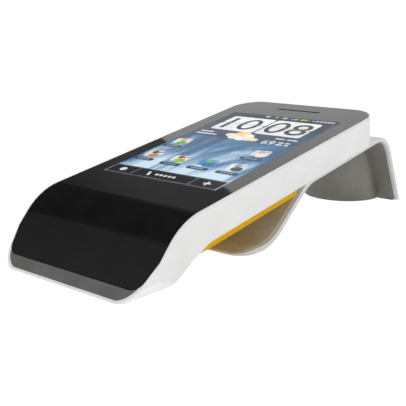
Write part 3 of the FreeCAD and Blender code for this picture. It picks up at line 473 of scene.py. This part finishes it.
@dataclass
class ClockPanel:
    """The flip clock: a tinted band, two split tiles and their numbers."""

    tile_width: float = 24.6 * MM
    tile_length: float = 20.4 * MM
    tile_gap: float = 1.0 * MM
    middle: float = 75.0 * MM
    hours: str = "10"
    minutes: str = "08"

    def build(self) -> list[bpy.types.Object]:
        """Build the clock's pieces.

        Returns:
            The finished pieces.
        """
        offset = (self.tile_width + self.tile_gap) / 2
        band = bmesh.new()
        plate(band, (0.0, self.middle - 10.5 * MM), (57.5 * MM, 20.0 * MM), 2.5 * MM, Level.PANEL.value)
        tiles = bmesh.new()
        halves = self.tile_length / 2
        for side in (-1, 1):
            for end in (-1, 1):
                centre = (side * offset, self.middle + end * (halves / 2 + 0.12 * MM))
                plate(tiles, centre, (self.tile_width, halves), 1.4 * MM, Level.TILE.value)
        numbers = bmesh.new()
        for side, text in ((-1, self.hours), (1, self.minutes)):
            number_mesh(numbers, text, (side * offset, self.middle), 15.6 * MM, Level.MARK.value, 1.06)
        seams = bmesh.new()
        for side in (-1, 1):
            plate(seams, (side * offset, self.middle), (self.tile_width, 0.28 * MM), 0.0, Level.GLYPH.value)
        dark = InkFinish("clock_band", linear(34, 52, 78), linear(48, 70, 98))
        white = InkFinish("clock_tile", linear(212, 214, 216), linear(244, 245, 246), 60.0)
        ink = InkFinish("clock_number", linear(12, 12, 14), linear(34, 34, 38))
        seam = InkFinish("clock_seam", linear(150, 152, 156), linear(176, 178, 182))
        return [
            finish_piece("screen_clock_band", band, dark.make()),
            finish_piece("screen_clock_tiles", tiles, white.make()),
            finish_piece("screen_clock_numbers", numbers, ink.make()),
            finish_piece("screen_clock_seams", seams, seam.make()),
        ]


@dataclass
class StatusBar:
    """The dark strip at the display's top, with its small marks."""

    width: float = 61.0 * MM
    height: float = 4.6 * MM
    middle: float = 89.2 * MM

    def build(self) -> list[bpy.types.Object]:
        """Build the strip and its marks.

        Returns:
            The finished pieces.
        """
        strip = bmesh.new()
        plate(strip, (0.0, self.middle), (self.width, self.height), 0.4 * MM, Level.PANEL.value)
        marks = bmesh.new()
        disc(marks, (-8.4 * MM, self.middle), 1.2 * MM, Level.MARK.value)
        plate(marks, (-3.2 * MM, self.middle), (0.8 * MM, 2.4 * MM), 0.3 * MM, Level.MARK.value)
        plate(marks, (1.6 * MM, self.middle), (2.6 * MM, 2.2 * MM), 0.4 * MM, Level.MARK.value)
        for step in range(4):
            height = (0.8 + 0.5 * step) * MM
            place = (5.6 + 0.9 * step) * MM
            plate(marks, (place, self.middle - 1.2 * MM + height / 2), (0.55 * MM, height), 0.0,
                  Level.MARK.value)
        for step, width in enumerate((0.7, 1.5, 1.5, 1.5, 1.9, 1.9)):
            plate(marks, ((17.4 + 2.1 * step) * MM, self.middle), (width * MM, 1.5 * MM), 0.3 * MM,
                  Level.MARK.value)
        charge = bmesh.new()
        plate(charge, (12.2 * MM, self.middle), (3.6 * MM, 1.9 * MM), 0.4 * MM, Level.MARK.value)
        plate(charge, (14.3 * MM, self.middle), (0.5 * MM, 0.9 * MM), 0.1 * MM, Level.MARK.value)
        dark = InkFinish("status_strip", linear(14, 18, 28), linear(24, 30, 42))
        grey = InkFinish("status_mark", linear(150, 156, 164), linear(196, 200, 206))
        green = InkFinish("status_charge", linear(96, 176, 40), linear(140, 206, 70))
        return [
            finish_piece("screen_status_strip", strip, dark.make()),
            finish_piece("screen_status_marks", marks, grey.make()),
            finish_piece("screen_charge_mark", charge, green.make()),
        ]


@dataclass
class WeatherPanel:
    """The weather picture between the clock and the icons, with its number."""

    middle: float = 58.5 * MM

    def build(self) -> list[bpy.types.Object]:
        """Build the sun, the clouds, the number and the short lines beside them.

        Returns:
            The finished pieces.
        """
        sun = bmesh.new()
        disc(sun, (-2.6 * MM, self.middle + 1.6 * MM), 4.6 * MM, Level.MARK.value)
        clouds = bmesh.new()
        for x, y, radius in ((-8.0, 0.6, 2.6), (-4.6, -1.6, 3.1), (-0.4, -2.2, 3.4), (3.8, -1.8, 3.0),
                             (7.0, -2.4, 2.2), (1.6, 1.2, 3.0)):
            disc(clouds, (x * MM, self.middle + y * MM), radius * MM, Level.GLYPH.value, 0.8)
        text = bmesh.new()
        number_mesh(text, "69", (15.6 * MM, 55.4 * MM), 4.6 * MM, Level.MARK.value, 1.05)
        for x, y, width in ((21.6, 56.6, 2.8), (25.0, 56.6, 2.4), (21.9, 54.2, 3.2), (25.6, 54.2, 2.0),
                            (18.0, 61.0, 5.0), (24.4, 61.0, 5.4), (-23.0, 60.4, 7.6), (-21.0, 57.2, 12.0)):
            plate(text, (x * MM, y * MM), (width * MM, 1.1 * MM), 0.4 * MM, Level.MARK.value)
        gold = InkFinish("weather_sun", linear(244, 190, 84), linear(250, 214, 130))
        cloud = InkFinish("weather_cloud", linear(222, 206, 172), linear(246, 242, 232), 220.0)
        white = InkFinish("weather_text", linear(190, 200, 212), linear(228, 234, 240))
        return [
            finish_piece("screen_weather_sun", sun, gold.make()),
            finish_piece("screen_weather_clouds", clouds, cloud.make()),
            finish_piece("screen_weather_text", text, white.make()),
        ]


@dataclass(frozen=True)
class IconPlan:
    """One icon's place up the screen and the colours of its three shapes."""

    x: float
    y: float
    back: Colour
    front: Colour
    accent: Colour


@dataclass
class Icons:
    """The home page's icons: a card, a ball and a dot each, over a dark label pill."""

    card: float = 8.2 * MM
    plans: tuple[IconPlan, ...] = (
        IconPlan(-24.2, 43.0, linear(238, 240, 242), linear(92, 182, 60), linear(232, 152, 60)),
        IconPlan(21.6, 41.0, linear(226, 228, 230), linear(236, 238, 240), linear(204, 176, 128)),
        IconPlan(-24.3, 24.4, linear(240, 236, 230), linear(198, 140, 96), linear(90, 62, 48)),
        IconPlan(-8.0, 23.4, linear(236, 238, 236), linear(150, 200, 60), linear(196, 34, 40)),
        IconPlan(7.2, 23.4, linear(60, 140, 206), linear(40, 118, 196), linear(120, 196, 84)),
        IconPlan(22.6, 23.4, linear(234, 236, 238), linear(70, 74, 80), linear(150, 154, 160)),
    )

    def build(self) -> list[bpy.types.Object]:
        """Build every icon and the label under it.

        Returns:
            The finished pieces.
        """
        pieces = []
        pills = bmesh.new()
        lines = bmesh.new()
        for number, plan in enumerate(self.plans, start=1):
            x, y = plan.x * MM, plan.y * MM
            back, front, accent = bmesh.new(), bmesh.new(), bmesh.new()
            plate(back, (x, y + 0.8 * MM), (self.card, self.card * 0.8), 1.2 * MM, Level.TILE.value, 6.0)
            disc(front, (x + 1.2 * MM, y - 1.4 * MM), 2.7 * MM, Level.MARK.value, 0.85)
            disc(accent, (x - 0.6 * MM, y + 2.2 * MM), 1.5 * MM, Level.GLYPH.value)
            plate(accent, (x + 2.4 * MM, y + 2.6 * MM), (3.2 * MM, 0.7 * MM), 0.3 * MM,
                  Level.GLYPH.value, 30.0)
            for part, bm, tone in (("card", back, plan.back), ("ball", front, plan.front),
                                   ("dot", accent, plan.accent)):
                darker = tuple(0.75 * value for value in tone)
                ink = InkFinish(f"icon_{number}_{part}_ink", tone, darker, 300.0)
                pieces.append(finish_piece(f"screen_icon_{number}_{part}", bm, ink.make()))
            plate(pills, (x, y - 6.4 * MM), (11.2 * MM, 3.0 * MM), 1.4 * MM, Level.TILE.value)
            for step in range(4):
                plate(lines, (x + (1.7 * step - 2.6) * MM, y - 6.4 * MM), (1.2 * MM, 0.9 * MM), 0.3 * MM,
                      Level.MARK.value)
        dark = InkFinish("label_pill", linear(40, 58, 82), linear(56, 78, 104))
        grey = InkFinish("label_dash", linear(150, 164, 180), linear(180, 192, 204))
        pieces.append(finish_piece("screen_label_pills", pills, dark.make()))
        pieces.append(finish_piece("screen_label_dashes", lines, grey.make()))
        return pieces


@dataclass
class SoftKeys:
    """The three dark keys drawn along the display's lower edge."""

    length: float = 7.2 * MM
    middle: float = 4.4 * MM
    rim: float = 0.45 * MM
    strip_width: float = 60.4 * MM
    keys: tuple[tuple[float, float], ...] = ((-23.0, 13.6), (0.0, 30.6), (23.0, 13.6))

    def build(self) -> list[bpy.types.Object]:
        """Build the keys, their light outlines and their signs.

        Returns:
            The finished pieces.
        """
        base, rims, faces, signs = bmesh.new(), bmesh.new(), bmesh.new(), bmesh.new()
        plate(base, (0.0, self.middle), (self.strip_width, self.length + 1.6 * MM), 0.6 * MM,
              Level.SHADE.value)
        for x, width in self.keys:
            outer = (width * MM + 2 * self.rim, self.length + 2 * self.rim)
            plate(rims, (x * MM, self.middle), outer, 0.8 * MM, Level.PANEL.value)
            plate(faces, (x * MM, self.middle), (width * MM, self.length), 0.5 * MM, Level.TILE.value)
        left, middle, right = (place[0] * MM for place in self.keys)
        disc(signs, (left, self.middle), 1.7 * MM, Level.MARK.value)
        plate(signs, (middle - 8.0 * MM, self.middle), (1.2 * MM, 4.0 * MM), 0.5 * MM,
              Level.MARK.value, 24.0)
        for step, width in enumerate((1.6, 1.5, 1.6, 1.5, 1.7)):
            plate(signs, (middle + (2.3 * step - 3.6) * MM, self.middle), (width * MM, 1.7 * MM), 0.5 * MM,
                  Level.MARK.value)
        plate(signs, (right, self.middle), (3.8 * MM, 0.9 * MM), 0.3 * MM, Level.MARK.value)
        plate(signs, (right, self.middle), (0.9 * MM, 3.8 * MM), 0.3 * MM, Level.MARK.value)
        strip = InkFinish("soft_key_strip", linear(40, 43, 48), linear(58, 61, 66))
        rim = InkFinish("soft_key_rim", linear(88, 90, 94), linear(118, 120, 123))
        face = InkFinish("soft_key_face", linear(14, 15, 18), linear(30, 32, 36))
        sign = InkFinish("soft_key_sign", linear(206, 208, 212), linear(236, 238, 240))
        return [
            finish_piece("screen_key_strip", base, strip.make()),
            finish_piece("screen_key_rims", rims, rim.make()),
            finish_piece("screen_key_faces", faces, face.make()),
            finish_piece("screen_key_signs", signs, sign.make()),
        ]


# ---- The finishes of the terminal's own pieces ----------------------------------------------


@dataclass(frozen=True)
class Dressing:
    """Which finish goes on which of the terminal's pieces."""

    glass: GlassFinish = GlassFinish("cover_glass", linear(19, 19, 20))
    white_shell: Finish = Finish("shell_white", linear(236, 236, 236), linear(242, 242, 242), (0.28, 0.36))
    ribbon: Finish = Finish("ribbon_white", linear(216, 216, 215), linear(226, 226, 226), (0.25, 0.36),
                            coat=0.15)
    lip: Finish = Finish("lip_grey", linear(126, 126, 125), linear(144, 144, 142), (0.30, 0.42), 0.55)
    door: Finish = Finish("door_yellow", linear(228, 176, 0), linear(218, 166, 0), (0.45, 0.55),
                          specular=0.1)
    liner: Finish = Finish("liner_dark", linear(124, 123, 117), linear(142, 141, 134), (0.34, 0.46), 0.35,
                           grain_stretch=(1.0, 1.0, 0.05))
    # Trough liner: a greyish-beige sheet whose colour is painted shade under the body, tinted by a painted
    # reflection of the yellow door.
    trough: Finish = Finish("liner_olive", linear(184, 183, 172), linear(208, 206, 194), (0.5, 0.65),
                            mottle_scale=110.0)
    rubber: Finish = Finish("foot_rubber", linear(40, 40, 40), linear(52, 52, 52), (0.7, 0.85))
    steel: Finish = Finish("steel", linear(170, 170, 172), linear(186, 186, 188), (0.3, 0.4), 1.0,
                           grain_stretch=(0.1, 1.0, 1.0))
    copper: Finish = Finish("antenna_copper", linear(196, 122, 70), linear(208, 138, 84), (0.3, 0.4), 1.0)
    board: Finish = Finish("board_green", linear(24, 96, 56), linear(30, 110, 64), (0.4, 0.5))
    dark: Finish = Finish("dark_plastic", linear(30, 30, 32), linear(40, 40, 42), (0.5, 0.6))
    key: Finish = Finish("key_grey", linear(150, 150, 150), linear(160, 160, 160), (0.35, 0.45))

    def plan(self) -> dict[str, object]:
        """The finish of each node, by the node's name."""
        steel_nodes = ("display_frame", "board_screws", "secure_module", "radio_shield", "coin_cell",
                       "vibration_motor", "charge_port", "power_switch", "volume_switch", "pod_screws",
                       "stand_screws", "pod_weight")
        chosen = {name: self.steel for name in steel_nodes}
        chosen.update({name: self.dark for name in ("display_panel", "battery_pack", "loudspeaker",
                                                    "earpiece_mesh")})
        chosen.update({name: self.rubber for name in ("belly_foot", "toe_foot", "leg_foot")})
        chosen.update({name: self.liner for name in ("leg_liner", "rear_pod", "pod_base")})
        chosen.update({name: self.key for name in ("power_key", "volume_rocker")})
        chosen.update({
            "front_glass": self.glass,
            "body_shell": self.white_shell,
            "stand_ribbon": self.ribbon,
            "chin_trim": self.lip,
            "battery_door": self.door,
            "trough_liner": self.trough,
            "contactless_antenna": self.copper,
            "main_board": self.board,
        })
        return chosen

    def dress(self, nodes: dict[str, bpy.types.Object]) -> None:
        """Put each finish on its nodes.

        Args:
            nodes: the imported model's nodes, by name.
        """
        made = {}
        for name, finish in self.plan().items():
            if finish.name not in made:
                made[finish.name] = finish.make()
            mesh = nodes[name].data
            mesh.materials.clear()
            mesh.materials.append(made[finish.name])
            LOG.info("%s: %s", name, finish.name)


# ---- The studio ---------------------------------------------------------------------------


@dataclass
class Studio:
    """The pale floor, the soft lights, the bright card behind the terminal and the camera.

    surroundings are the shades that the terminal's gloss reflects, each with its place from the
    front of the room (0) to the rear (1).
    """

    floor_radius: float = 6.0
    floor_albedo: float = 0.85
    floor_glow: float = 0.38
    plain_white: float = 1.05
    surroundings: tuple[tuple[float, float], ...] = (
        (0.30, 0.24), (0.37, 0.03), (0.745, 0.03), (0.79, 0.16))
    lamp_aim: tuple[float, float, float] = (0.0, 0.0, 0.02)
    card_glow: float = 0.95
    card_distance: float = 1.5
    card_bearing: float = -35.0
    card_outline: tuple[tuple[float, float], ...] = ((-0.80, 0.11), (1.6, 0.11), (1.6, 1.7), (0.38, 1.7))
    camera_place: tuple[float, float, float] = (0.2122, -0.2713, 0.0957)
    camera_bearing: float = 40.38
    camera_drop: float = 13.62
    lens: float = 69.2

    def build(self) -> None:
        """Build everything around the terminal."""
        self.build_world()
        self.build_floor()
        self.build_card()
        self.build_light("top_light", (0.0, 0.1, 1.3), size=1.6, power=11.4)
        self.build_light("right_light", (1.0, -0.1, 0.35), size=0.9, power=3.4)
        self.build_light("front_light", (-0.5, -1.1, 0.5), size=0.8, power=3.6)
        self.build_camera()

    def build_world(self) -> None:
        """Make the surroundings: white behind the terminal, dim and banded in its reflections."""
        world = bpy.data.worlds.new("studio_world")
        bpy.context.scene.world = world
        world.use_nodes = True
        nodes, links = world.node_tree.nodes, world.node_tree.links
        nodes.clear()
        out = nodes.new("ShaderNodeOutputWorld")
        choice = nodes.new("ShaderNodeMixShader")
        seen = nodes.new("ShaderNodeBackground")
        seen.inputs["Color"].default_value = (1.0, 1.0, 1.0, 1.0)
        seen.inputs["Strength"].default_value = self.plain_white
        around = nodes.new("ShaderNodeBackground")
        path = nodes.new("ShaderNodeLightPath")
        place = nodes.new("ShaderNodeTexCoord")
        split = nodes.new("ShaderNodeSeparateXYZ")
        ramp = nodes.new("ShaderNodeValToRGB")
        shift = nodes.new("ShaderNodeMapRange")
        shift.inputs["From Min"].default_value = -1.0
        shift.inputs["From Max"].default_value = 1.0
        stops = ramp.color_ramp.elements
        first, *between, last = self.surroundings
        stops[0].position, stops[0].color = first[0], (first[1], first[1], first[1], 1.0)
        stops[1].position, stops[1].color = last[0], (last[1], last[1], last[1], 1.0)
        for position, shade in between:
            stop = stops.new(position)
            stop.color = (shade, shade, shade, 1.0)
        links.new(place.outputs["Generated"], split.inputs["Vector"])
        links.new(split.outputs["Y"], shift.inputs["Value"])
        links.new(shift.outputs["Result"], ramp.inputs["Fac"])
        links.new(ramp.outputs["Color"], around.inputs["Color"])
        links.new(path.outputs["Is Camera Ray"], choice.inputs["Fac"])
        links.new(around.outputs["Background"], choice.inputs[1])
        links.new(seen.outputs["Background"], choice.inputs[2])
        links.new(choice.outputs["Shader"], out.inputs["Surface"])

    def build_floor(self) -> None:
        """Make the pale floor that the terminal stands on."""
        bm = bmesh.new()
        bmesh.ops.create_circle(bm, cap_ends=True, segments=96, radius=self.floor_radius)
        mesh = bpy.data.meshes.new("floor")
        bm.to_mesh(mesh)
        bm.free()
        floor = bpy.data.objects.new("floor", mesh)
        bpy.context.scene.collection.objects.link(floor)
        mesh.materials.append(self.lit_material("floor_white", self.floor_albedo, self.floor_glow))
        self.show_plain_white(mesh.materials[0])

    def show_plain_white(self, material: bpy.types.Material) -> None:
        """Let a lit surface look plain white while it lights the terminal only dimly.

        Args:
            material: the material to change.
        """
        nodes, links = material.node_tree.nodes, material.node_tree.links
        path = nodes.new("ShaderNodeLightPath")
        white = nodes.new("ShaderNodeEmission")
        white.inputs["Strength"].default_value = self.plain_white
        choice = nodes.new("ShaderNodeMixShader")
        links.new(path.outputs["Is Camera Ray"], choice.inputs["Fac"])
        links.new(nodes["Principled BSDF"].outputs["BSDF"], choice.inputs[1])
        links.new(white.outputs["Emission"], choice.inputs[2])
        links.new(choice.outputs["Shader"], nodes["Material Output"].inputs["Surface"])

    def build_card(self) -> None:
        """Make the bright card whose slanting edge shows in the glass."""
        bearing = math.radians(self.card_bearing)
        ahead = Vector((math.sin(bearing), math.cos(bearing), 0.0))
        across = Vector((math.cos(bearing), -math.sin(bearing), 0.0))
        bm = bmesh.new()
        corners = [bm.verts.new(ahead * self.card_distance + across * v + Vector((0.0, 0.0, h)))
                   for v, h in self.card_outline]
        bm.faces.new(corners)
        mesh = bpy.data.meshes.new("light_card")
        bm.to_mesh(mesh)
        bm.free()
        card = bpy.data.objects.new("light_card", mesh)
        bpy.context.scene.collection.objects.link(card)
        mesh.materials.append(self.lit_material("card_white", 0.0, self.card_glow))
        card.visible_camera = False
        card.visible_diffuse = False
        card.visible_shadow = False

    def lit_material(self, name: str, albedo: float, glow: float) -> bpy.types.Material:
        """A matt white surface that gives off some light of its own.

        Args:
            name: the material's name.
            albedo: how much light it throws back.
            glow: how much it gives off.

        Returns:
            The material.
        """
        material = bpy.data.materials.new(name)
        material.use_nodes = True
        shader = material.node_tree.nodes["Principled BSDF"]
        shader.inputs["Base Color"].default_value = (albedo, albedo, albedo, 1.0)
        shader.inputs["Roughness"].default_value = 1.0
        shader.inputs["Specular IOR Level"].default_value = 0.0
        shader.inputs["Emission Color"].default_value = (1.0, 1.0, 1.0, 1.0)
        shader.inputs["Emission Strength"].default_value = glow
        return material

    def build_light(self, name: str, place: tuple[float, float, float], size: float,
                    power: float) -> None:
        """Make one soft light aimed at the terminal.

        Args:
            name: the light's name.
            place: where it stands, in metres.
            size: its side, in metres.
            power: its power, in watts.
        """
        data = bpy.data.lights.new(name, "AREA")
        data.size = size
        data.energy = power
        lamp = bpy.data.objects.new(name, data)
        bpy.context.scene.collection.objects.link(lamp)
        lamp.location = place
        lamp.rotation_euler = (Vector(self.lamp_aim) - Vector(place)).to_track_quat("-Z", "Y").to_euler()
        lamp.visible_glossy = False

    def build_camera(self) -> None:
        """Make the camera at its viewing angle."""
        data = bpy.data.cameras.new("camera")
        data.sensor_width = 36.0
        data.lens = self.lens
        data.clip_start = 0.01
        data.clip_end = 50.0
        camera = bpy.data.objects.new("camera", data)
        bpy.context.scene.collection.objects.link(camera)
        bearing, drop = math.radians(self.camera_bearing), math.radians(self.camera_drop)
        ahead = Vector((-math.sin(bearing) * math.cos(drop), math.cos(bearing) * math.cos(drop),
                        -math.sin(drop)))
        camera.location = self.camera_place
        camera.rotation_euler = ahead.to_track_quat("-Z", "Y").to_euler()
        bpy.context.scene.camera = camera


def main() -> None:
    """Build the studio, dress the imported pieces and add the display's picture."""
    bpy.context.scene.view_settings.view_transform = "Standard"
    Studio().build()
    Dressing().dress(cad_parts)
    Wallpaper().build()
    ClockPanel().build()
    StatusBar().build()
    WeatherPanel().build()
    Icons().build()
    SoftKeys().build()


if __name__ == "__main__":
    main()
